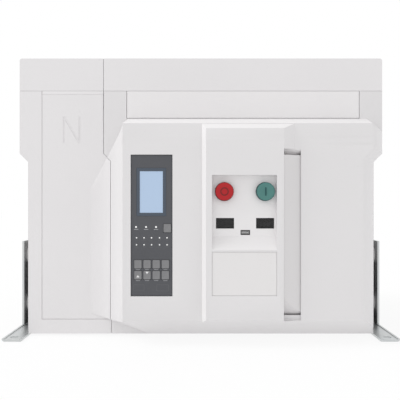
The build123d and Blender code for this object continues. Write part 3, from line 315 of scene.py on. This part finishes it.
# Darker red and green: the marks on the push buttons, and painted shade on the buttons' sides and rounded
# edges
red_mark_and_painted_shade = glossy("red_mark_and_painted_shade", (0.17, 0.012, 0.012), 0.5, 0.0)
green_mark_and_painted_shade = glossy("green_mark_and_painted_shade", (0.018, 0.085, 0.085), 0.5, 0.0)
smoked = pane("smoked_window", (0.03, 0.029, 0.03), 0.3)

slots = {part["node"]: part["material_slot"] for part in frame["record"]["subparts"]}
for name, node in nodes.items():
    for held in node.material_slots:
        held.material = finishes[slots[name]]


# Places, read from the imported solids


def box_mm(node):
    """A solid's lowest and highest corners in millimetres."""
    low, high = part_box(node)
    return low / mm, high / mm


def front_middle(node):
    """The middle of a solid's front in millimetres."""
    low, high = box_mm(node)
    return (low.x + high.x) / 2, low.y, (low.z + high.z) / 2


def within(place, spans):
    """Whether a place lies in a box, which is given by its spans along X, Y and Z."""
    return all(low < part < high for part, (low, high) in zip(place, spans))


def to_front(face):
    """Whether a face looks to the front."""
    return face.normal.y < -0.9


block_step = 10
block_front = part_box("front_cover")[0].y / mm
fascia_front = block_front + block_step
cover_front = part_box("terminal_cover")[0].y / mm
panel_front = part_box("trip_unit_panel")[0].y / mm
counter_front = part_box("operations_counter")[0].y / mm
plate_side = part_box("bracket_right")[1].x / mm


# Bench tools: 'pick' opens a piece for editing, and all the others end in object mode


def rest_tools():
    """Back to object mode with nothing selected."""
    if bpy.context.mode != "OBJECT":
        bpy.ops.object.mode_set(mode="OBJECT")
    bpy.ops.object.select_all(action="DESELECT")


def hold(piece):
    """Select one piece alone."""
    rest_tools()
    bpy.context.view_layer.objects.active = piece
    piece.select_set(True)


def pick(piece, kind, wanted):
    """Open a piece for editing with the faces, edges or points that 'wanted' accepts selected."""
    hold(piece)
    mesh = piece.data
    for group in (mesh.vertices, mesh.edges, mesh.polygons):
        group.foreach_set("select", [False] * len(group))
    bpy.context.tool_settings.mesh_select_mode = (kind == "VERT", kind == "EDGE", kind == "FACE")
    if kind == "FACE":
        for face in mesh.polygons:
            face.select = wanted(face)
    elif kind == "EDGE":
        for edge in mesh.edges:
            edge.select = wanted(*(mesh.vertices[k].co for k in edge.vertices))
    else:
        for point in mesh.vertices:
            point.select = wanted(point.co)
    bpy.ops.object.mode_set(mode="EDIT")


def settled(piece, name):
    """Put a primitive's place into its mesh and give it its name."""
    hold(piece)
    bpy.ops.object.transform_apply(location=True, rotation=True, scale=True)
    piece.name = name
    piece.data.name = name
    return piece


def slab(name, low, high):
    """A box between two corners, in millimetres."""
    rest_tools()
    middle = [(a + b) / 2 * mm for a, b in zip(low, high)]
    size = [(b - a) * mm for a, b in zip(low, high)]
    bpy.ops.mesh.primitive_cube_add(size=1, location=middle, scale=size)
    return settled(bpy.context.object, name)


def bar(name, axis, centre, radius, ends, sides=48):
    """A round bar along one axis, in millimetres, from the two other coordinates of its middle."""
    rest_tools()
    middle = list(centre)
    middle.insert("XYZ".index(axis), (ends[0] + ends[1]) / 2)
    turned = {"X": (0, radians(90), 0), "Y": (radians(90), 0, 0), "Z": (0, 0, 0)}[axis]
    bpy.ops.mesh.primitive_cylinder_add(
        vertices=sides, radius=radius * mm, depth=abs(ends[1] - ends[0]) * mm,
        location=Vector(middle) * mm, rotation=turned,
    )
    return settled(bpy.context.object, name)


def worked(piece, kind, **settings):
    """Add a modifier, set it and apply it."""
    hold(piece)
    modifier = piece.modifiers.new(kind.lower(), kind)
    for name, value in settings.items():
        setattr(modifier, name, value)
    bpy.ops.object.modifier_apply(modifier=modifier.name)
    return piece


def smoothed(piece):
    """Smooth what curves and keep what is sharper than 20 degrees, so that flat faces stay flat."""
    hold(piece)
    bpy.ops.object.shade_smooth_by_angle(angle=radians(20))
    return piece


def eased(piece, radius, segments=2, angle=35):
    """Round the sharp edges by a radius in millimetres and smooth what curves."""
    worked(
        piece, "BEVEL", width=radius * mm, segments=segments, limit_method="ANGLE",
        angle_limit=radians(angle), use_clamp_overlap=True,
    )
    return smoothed(piece)


def framed(piece):
    """Set large flat faces in by a narrow margin, so that the smoothing at their edges stays in it."""
    flat, large, margin = 0.99999, 0.0015, 0.4
    pick(piece, "FACE", lambda face: face.area > large and max(abs(part) for part in face.normal) > flat)
    bpy.ops.mesh.inset(thickness=margin * mm, use_individual=True)
    rest_tools()
    return piece


def carved(piece, cutter):
    """Cut one piece with another, which is then used up."""
    worked(piece, "BOOLEAN", operation="DIFFERENCE", object=cutter, solver="EXACT")
    bpy.data.objects.remove(cutter)
    return piece


def copied(piece, name, move):
    """A copy with its own mesh, moved by millimetres."""
    twin = bpy.data.objects.new(name, piece.data.copy())
    bpy.context.collection.objects.link(twin)
    twin.location = Vector(move) * mm
    return settled(twin, name)


def joined(pieces, name):
    """Several pieces made one."""
    hold(pieces[0])
    for piece in pieces[1:]:
        piece.select_set(True)
    bpy.ops.object.join()
    return settled(bpy.context.object, name)


def finished(piece, slot, body="base", stands_for=(), material=None):
    """Give a piece its finish, its body and the solids it stands for."""
    piece.data.materials.clear()
    piece.data.materials.append(material or finishes[slot])
    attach(piece, body)
    if stands_for:
        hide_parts(*stands_for)
    return piece


def tinted(piece, material, wanted):
    """Give the faces that 'wanted' accepts a finish of their own."""
    piece.data.materials.append(material)
    added = len(piece.data.materials) - 1
    for face in piece.data.polygons:
        if wanted(face):
            face.material_index = added
    return piece


def dressed(node, radius, body="base", details=None, material=None):
    """A copy of a solid with its facets merged and its edges eased, which stands for it."""
    piece = bpy.data.objects.new(node + "_shell", nodes[node].data.copy())
    bpy.context.collection.objects.link(piece)
    pick(piece, "FACE", lambda face: True)
    bpy.ops.mesh.customdata_custom_splitnormals_clear()
    bpy.ops.mesh.remove_doubles(threshold=0.01 * mm)
    bpy.ops.mesh.dissolve_limited(angle_limit=radians(0.3))
    rest_tools()
    if details:
        details(piece)
    eased(piece, radius)
    slot = slots[node]
    return finished(piece, slot, body, [node], material)


# Front cover


def block_rises(piece):
    """The upper chamfer of the middle block runs on up to just below the fascia's edge."""
    head, rise, near = 297.2, 1.9, 0.2

    def at_head(point):
        return abs(point.z / mm - head) < near and abs(point.y / mm - fascia_front) < near

    pick(piece, "VERT", at_head)
    bpy.ops.transform.translate(value=(0, 0, rise * mm))
    rest_tools()


def on_painted_light(face):
    """Whether a face gets painted light: a painted highlight on the upper edges and the block's left flank,
    and painted light against the shade on the pocket's floor.
    """
    edges_front, flank_end = cover_front - 10, 22
    pocket = ((15, 105), (fascia_front - 1, fascia_front + 1), (120, 225))
    way, place = face.normal, face.center / mm
    edge = way.z > 0.3 and abs(way.x) < 0.2 and way.y < -0.2 and place.y < edges_front
    flank = way.x < -0.6 and place.y < fascia_front - 0.5 and place.x < flank_end
    return edge or flank or (way.y < -0.98 and within(place, pocket))


def on_scoop(face):
    """Whether a face is the slope of the finger scoop above the charging handle, which gets painted light
    against its own shade.
    """
    scoop = ((108, 136), (fascia_front + 0.5, fascia_front + 13), (255, 267))
    return face.normal.z < -0.5 and within(face.center / mm, scoop)


front_cover = dressed("front_cover", 0.45, details=block_rises)
# Painted highlight on the front cover's upper edges and the block's left flank, and painted light on the
# pocket's floor against its shade.
tinted(front_cover, cover_lighter_and_painted_light, on_painted_light)
# The scoop's slope gets painted light against its own shade.
tinted(front_cover, cover_scoop_painted_light, on_scoop)


# Cover of the neutral pole, with its grooves and its letter


def neutral_details(piece):
    """The groove round the inset panel and the line across its top."""
    panel_left, panel_right, panel_foot, groove = -231, -131, 23.5, 1.1
    line_right, line_foot, line_head, line_depth = -142, 349.4, 350.0, 0.4
    outside, groove_back = cover_front - 1, cover_front + groove
    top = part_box("neutral_cover")[1].z / mm + 1
    corner = (panel_left, outside, panel_foot)
    carved(piece, slab("groove", corner, (panel_left + groove, groove_back, top)))
    carved(piece, slab("groove", corner, (panel_right, groove_back, panel_foot + groove)))
    line_back = cover_front + line_depth
    carved(piece, slab("line", (panel_left, outside, line_foot), (line_right, line_back, line_head)))


def pole_mark(piece):
    """The neutral pole's letter: two upright strokes and a slanting one, cut with sharp edges."""
    stroke, left, right, foot, head = 2.4, -200.0, -174.8, 279.6, 317.6
    slant_stroke = stroke * 1.35
    outside, back = cover_front - 1, cover_front + 0.7
    for x in (left, right - stroke):
        carved(piece, slab("stroke", (x, outside, foot), (x + stroke, back, head)))
    slant = slab("slant", (left, outside, foot), (left + slant_stroke, back, head))
    pick(slant, "FACE", lambda face: face.normal.z < -0.5)
    bpy.ops.transform.translate(value=((right - left - slant_stroke) * mm, 0, 0))
    rest_tools()
    carved(piece, slant)
    smoothed(piece)


pole_mark(framed(dressed("neutral_cover", 0.45, details=neutral_details, material=cover_pale)))


# Other covers, the case and the brackets


def square_corners(piece):
    """The plate's upper corners run up to square edges."""
    plate_front, plate_back, chamfer = -55, 115, 12
    top = piece.bound_box[1][2] - 0.1 * mm
    for corner, outward in ((plate_front, -1), (plate_back, 1)):
        inner = (corner - outward * chamfer) * mm
        pick(piece, "VERT", lambda point: point.z > top and abs(point.y - inner) < 0.5 * mm)
        bpy.ops.transform.translate(value=(0, outward * chamfer * mm, 0))
        rest_tools()


def dressed_bracket(node, outward):
    """A bracket, with painted shade on the side of its plate that faces the body."""
    foot_top = 6
    piece = dressed(node, 0.4, details=square_corners)
    tinted(piece, zinc_painted_shade, lambda face: face.normal.x * outward < -0.9 and face.center.z > foot_top * mm)


dressed("terminal_cover", 0.45, material=cover_lighter_and_painted_light)
dressed("top_cover", 0.6, material=cover_pale)
dressed("neutral_top_cover", 0.6, material=cover_pale)
dressed("rear_base", 0.6)
dressed("contact_housing", 0.6)
dressed_bracket("bracket_left", -1)
dressed_bracket("bracket_right", 1)


# Charging handle, trip unit, label and push buttons


def close_fit(piece):
    """The handle's right side stands a tenth of a millimetre from its slot."""
    side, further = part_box("charging_handle")[1].x, 0.25
    pick(piece, "VERT", lambda point: point.x > side - 0.05 * mm)
    bpy.ops.transform.translate(value=(further * mm, 0, 0))
    rest_tools()


dressed("charging_handle", 0.3, body="charging_handle", details=close_fit)
dressed("trip_unit_panel", 0.3)
dressed("label_plate", 0.25)
# The sides and rounded edges of each button take painted shade, for the gap round the button.
for button, rim in (("off_button", red_mark_and_painted_shade), ("on_button", green_mark_and_painted_shade)):
    tinted(dressed(button, 0.7, body=button), rim, lambda face: face.normal.y > -0.93)


# Keys of the trip unit: one cap with rounded corners and a slight dish, copied to its nine places

key_corner, key_rim, dish_slope, dish_depth = 1.2, 0.45, 0.5, 0.12
key_low, key_high = box_mm("key_1")
cap = slab("key_cap", key_low, key_high)
pick(cap, "EDGE", lambda a, b: abs(a.y - b.y) > 1 * mm)
bpy.ops.mesh.bevel(offset=key_corner * mm, segments=4)
pick(cap, "FACE", to_front)
bpy.ops.mesh.inset(thickness=key_rim * mm)
bpy.ops.mesh.inset(thickness=dish_slope * mm, depth=-dish_depth * mm)
rest_tools()
eased(cap, 0.25, angle=50)
for number in range(1, 10):
    low, high = box_mm(f"key_{number}")
    key = copied(cap, f"key_cap_{number}", low - key_low)
    finished(key, "key_grey", f"key_{number}", [f"key_{number}"])
bpy.data.objects.remove(cap)


# Display: a dark border with the lit face set back behind it

border_width, step_width, step_depth = 4.0, 0.3, 0.5
display_low, display_high = box_mm("display_window")
border = slab("display", display_low, display_high)
pick(border, "FACE", to_front)
bpy.ops.mesh.inset(thickness=border_width * mm)
bpy.ops.mesh.inset(thickness=step_width * mm, depth=-step_depth * mm)
rest_tools()
finished(border, "display_blue", "base", ["display_window"])
set_back = (display_low.y + 0.3) * mm
tinted(border, display_face, lambda face: to_front(face) and face.center.y > set_back)


# Lamps and their small print on the trip unit


def lamp(x, z, radius):
    """A low dome in a rim."""
    dome = bar("lamp", "Y", (x, z), radius, (panel_front - 0.5, panel_front + 0.3), 20)
    pick(dome, "FACE", to_front)
    bpy.ops.mesh.inset(thickness=radius * 0.25 * mm, depth=0.2 * mm)
    bpy.ops.mesh.inset(thickness=radius * 0.35 * mm, depth=0.1 * mm)
    rest_tools()
    return eased(dome, 0.08, angle=30)


def print_bar(x, z, width, height):
    """A bar of raised print."""
    low = (x - width / 2, panel_front - 0.08, z - height / 2)
    high = (x + width / 2, panel_front + 0.1, z + height / 2)
    return eased(slab("print", low, high), 0.05, 1)


def outline(left, right, foot, head, line=0.35):
    """A rectangle of thin print."""
    bars = [print_bar((left + right) / 2, z, right - left, line) for z in (foot, head)]
    bars += [print_bar(x, (foot + head) / 2, line, head - foot) for x in (left, right)]
    return bars


large_columns, large_row = (-87.2, -73.8, -60.4), 160.4
small_columns, small_rows = (-86.6, -76.5, -66.4, -55.7, -45.6), (145.9, 136.5)
small_places = [(x, z) for z in small_rows for x in small_columns]
small_caption_drop, large_caption_drop, key_caption_drop = 3.0, 3.2, 1.6
outline_foot, outline_head = 74.5, 82.7

lamps = [lamp(x, large_row, 1.25) for x in large_columns]
lamps += [lamp(x, z, 0.95) for x, z in small_places]
finished(joined(lamps, "status_lamps"), "label_white", material=lamp_white)

faint = [print_bar(x, z - small_caption_drop, 4.0, 0.5) for x, z in small_places]
for left, right in ((-90.5, -76.5), (-59.5, -43.5)):
    faint += outline(left, right, outline_foot, outline_head)
finished(joined(faint, "panel_outlines"), "key_grey", material=print_faint)

prints = [print_bar(x, large_row - large_caption_drop, 6.0, 0.8) for x in large_columns]
for number in range(1, 9):
    low, high = box_mm(f"key_{number}")
    prints.append(print_bar((low.x + high.x) / 2, low.z - key_caption_drop, 5.6, 0.7))
finished(joined(prints, "panel_prints"), "key_grey", material=print_grey)


# Marks on two keys: one arrow up, one down


def arrow(name, number, height, way):
    """A small raised triangle on a key, at a height over the key's middle, pointing up or down."""
    half_width, half_height, tip = 2.2, 1.5, 0.05
    mark = slab(name, (-half_width, -0.05, -half_height), (half_width, 0.3, half_height))
    pick(mark, "VERT", lambda point: point.z * way > 0)
    bpy.ops.transform.resize(value=(tip, 1, 1), center_override=(0, 0, 0))
    rest_tools()
    x, y, z = front_middle(f"key_{number}")
    twin = copied(mark, name, (x, y, z + height))
    bpy.data.objects.remove(mark)
    eased(twin, 0.08, 1)
    return finished(twin, "key_grey", f"key_{number}", material=print_white)


arrow("key_mark_up", 5, -1.4, 1)
arrow("key_mark_down", 6, 3.2, -1)


# Windows of the two indicators in the pocket's floor, and the fields of the drums that turn into them

window_z, window_width, window_height = 165.4, 24.1, 14.0
for name, x in (("off_pane", 32.3), ("on_pane", 86.2)):
    low = (x - window_width / 2, fascia_front + 0.6, window_z - window_height / 2)
    high = (x + window_width / 2, fascia_front + 1.6, window_z + window_height / 2)
    glass = eased(slab(name, low, high), 0.15)
    finished(glass, "indicator_black", material=smoked)


def flagged(node, colour):
    """A drum whose upper field, which turns into the window, has a colour of its own."""
    drum_y, drum_z, rim, field_start = -141, window_z, 23, radians(20)

    def in_field(face):
        out, up = drum_y * mm - face.center.y, face.center.z - drum_z * mm
        return hypot(out, up) > rim * mm and atan2(up, out) > field_start

    tinted(dressed(node, 0.15, body=node), colour, in_field)


flagged("state_indicator", flag_red)
flagged("spring_indicator", flag_yellow)


# Operations counter: five white wheels, each with a plain nought, in a slot of its dark body

counter_x, counter_z = 59.6, 153.0
wheel_count, wheel_pitch, wheel_width, wheel_radius = 5, 2.1, 1.9, 1.75
wheel_axle = counter_front + 2.2


def wheel_slot(piece):
    """The slot that the wheels turn in."""
    half_width, half_height, depth = 5.4, 1.9, 4.6
    low = (counter_x - half_width, counter_front - 1, counter_z - half_height)
    high = (counter_x + half_width, counter_front + depth, counter_z + half_height)
    carved(piece, slab("slot", low, high))


dressed("operations_counter", 0.2, details=wheel_slot)
nought = bar("nought", "Y", (0, 0), 0.55, (-0.03, 0.2), 16)
carved(nought, bar("hole", "Y", (0, 0), 0.3, (-1, 1), 16))
nought.scale.z = 1.6
settled(nought, "nought")
wheels, noughts = [], []
for k in range(wheel_count):
    x = counter_x + (k - (wheel_count - 1) / 2) * wheel_pitch
    ends = (x - wheel_width / 2, x + wheel_width / 2)
    wheels.append(eased(bar("wheel", "X", (wheel_axle, counter_z), wheel_radius, ends, 32), 0.12))
    noughts.append(copied(nought, "nought", (x, wheel_axle - wheel_radius, counter_z)))
bpy.data.objects.remove(nought)
finished(joined(wheels, "counter_wheels"), "counter_black", material=wheel_white)
finished(joined(noughts, "counter_noughts"), "counter_black")


# Bolts of the brackets with their washers

bolt_end = box_mm("bracket_bolts")[1].x
bolt_rows, bolt_heights = (-30, 90), (35, 110)
washer_thickness, washer_radius, hexagon_radius = 1.3, 10.5, 8.4
shank_radius, shank_length = 5, 16


def hex_bolt(side, y, z):
    """A washer, a hexagon head and a shank that goes in through the plate, at one side of the body."""
    seat = plate_side + washer_thickness
    washer = bar("washer", "X", (y, z), washer_radius, (side * plate_side, side * seat))
    hexagon = bar("head", "X", (y, z), hexagon_radius, (side * seat, side * bolt_end), 6)
    ends = (side * (plate_side - shank_length), side * (seat - 0.1))
    shank = bar("shank", "X", (y, z), shank_radius, ends, 32)
    return [eased(washer, 0.3), eased(hexagon, 0.6), eased(shank, 0.2)]


bolts = []
for side in (-1, 1):
    for y in bolt_rows:
        for z in bolt_heights:
            bolts += hex_bolt(side, y, z)
finished(joined(bolts, "hex_bolts"), "zinc_bolts", "base", ["bracket_bolts"])


# Screws of the top covers: one with a hexagon socket, copied to its eight places

screw_columns, screw_rows = (-195, -65, 65, 195), (-39, 116)
head_radius, head_height, socket_radius, socket_depth, screw_radius = 4, 3, 2.1, 1.8, 2
screw_low, screw_high = box_mm("cover_screws")
head_foot, socket_foot = screw_high.z - head_height, screw_high.z - socket_depth
head = bar("head", "Z", (0, 0), head_radius, (head_foot, screw_high.z), 40)
carved(head, bar("socket", "Z", (0, 0), socket_radius, (socket_foot, screw_high.z + 1), 6))
eased(head, 0.35, 3)
shank = eased(bar("shank", "Z", (0, 0), screw_radius, (screw_low.z, head_foot), 24), 0.2)
screw = joined([head, shank], "cover_screw")
screws = [copied(screw, "cover_screw", (x, y, 0)) for x in screw_columns for y in screw_rows]
bpy.data.objects.remove(screw)
finished(joined(screws, "socket_screws"), "zinc_bolts", "base", ["cover_screws"])


# Marks on the push buttons: a ring to open and a bar to close

mark_radius, mark_hole, mark_end = 5.6, 4.1, 3.0
x, y, z = front_middle("off_button")
ring = bar("off_mark", "Y", (x, z), mark_radius, (y + 0.5, y + mark_end))
carved(ring, bar("hole", "Y", (x, z), mark_hole, (y - 1, y + mark_end + 1)))
eased(ring, 0.2)
finished(ring, "button_red", "off_button", material=red_mark_and_painted_shade)
x, y, z = front_middle("on_button")
stroke = slab("on_mark", (x - 0.9, y + 0.4, z - mark_radius), (x + 0.9, y + mark_end, z + mark_radius))
eased(stroke, 0.25)
finished(stroke, "button_green", "on_button", material=green_mark_and_painted_shade)


# Lights, floor and background: soft studio light from the upper left, at which colours keep their value

white = (1, 1, 1, 1)
towards_sun = Vector((-0.74, -0.10, 0.62))
sun_data = bpy.data.lights.new("key_light", "SUN")
sun_data.energy = 1.0
sun_data.angle = radians(25)
sun = bpy.data.objects.new("key_light", sun_data)
sun.rotation_euler = towards_sun.to_track_quat("Z", "Y").to_euler()
bpy.context.scene.collection.objects.link(sun)


def seen(shader):
    """1 for what the camera, a mirror or a clear piece sees."""
    most = shader.node("ShaderNodeLightPath", output="Is Camera Ray")
    others = [most.beside(ray) for ray in ("Is Glossy Ray", "Is Transmission Ray")]
    for other in others:
        most = shader.node("ShaderNodeMath", {"operation": "MAXIMUM"}, [most, other])
    return most


world = bpy.data.worlds.new("studio")
bpy.context.scene.world = world
world.use_nodes = True
sky = Shader(world.node_tree)
ambient = sky.node("ShaderNodeBackground", inputs={"Color": white, "Strength": 0.9})
backdrop = sky.node("ShaderNodeBackground", inputs={"Color": white, "Strength": 1.0})
both = sky.node("ShaderNodeMixShader", inputs=[seen(sky), ambient, backdrop])
sky.node("ShaderNodeOutputWorld", inputs={"Surface": both})

floor_size, floor_level = 12, -0.4
rest_tools()
bpy.ops.mesh.primitive_plane_add(size=floor_size, location=(0, 0, floor_level * mm))
floor = settled(bpy.context.object, "studio_floor")
paint = Finish("floor_paint")
tone = paint.mixed(paint.noise(2, 2), (0.9, 0.9, 0.9, 1), (0.92, 0.92, 0.92, 1))
matt = paint.node("ShaderNodeBsdfDiffuse", inputs={"Color": tone})
glow = paint.node("ShaderNodeEmission", inputs={"Color": white, "Strength": 1.0})
shown = seen(paint) * 0.3 + 0.55
lit = paint.node("ShaderNodeMixShader", inputs=[shown, matt, glow])
paint.node("ShaderNodeOutputMaterial", inputs={"Surface": lit})
floor.data.materials.append(paint.material)

rest_tools()
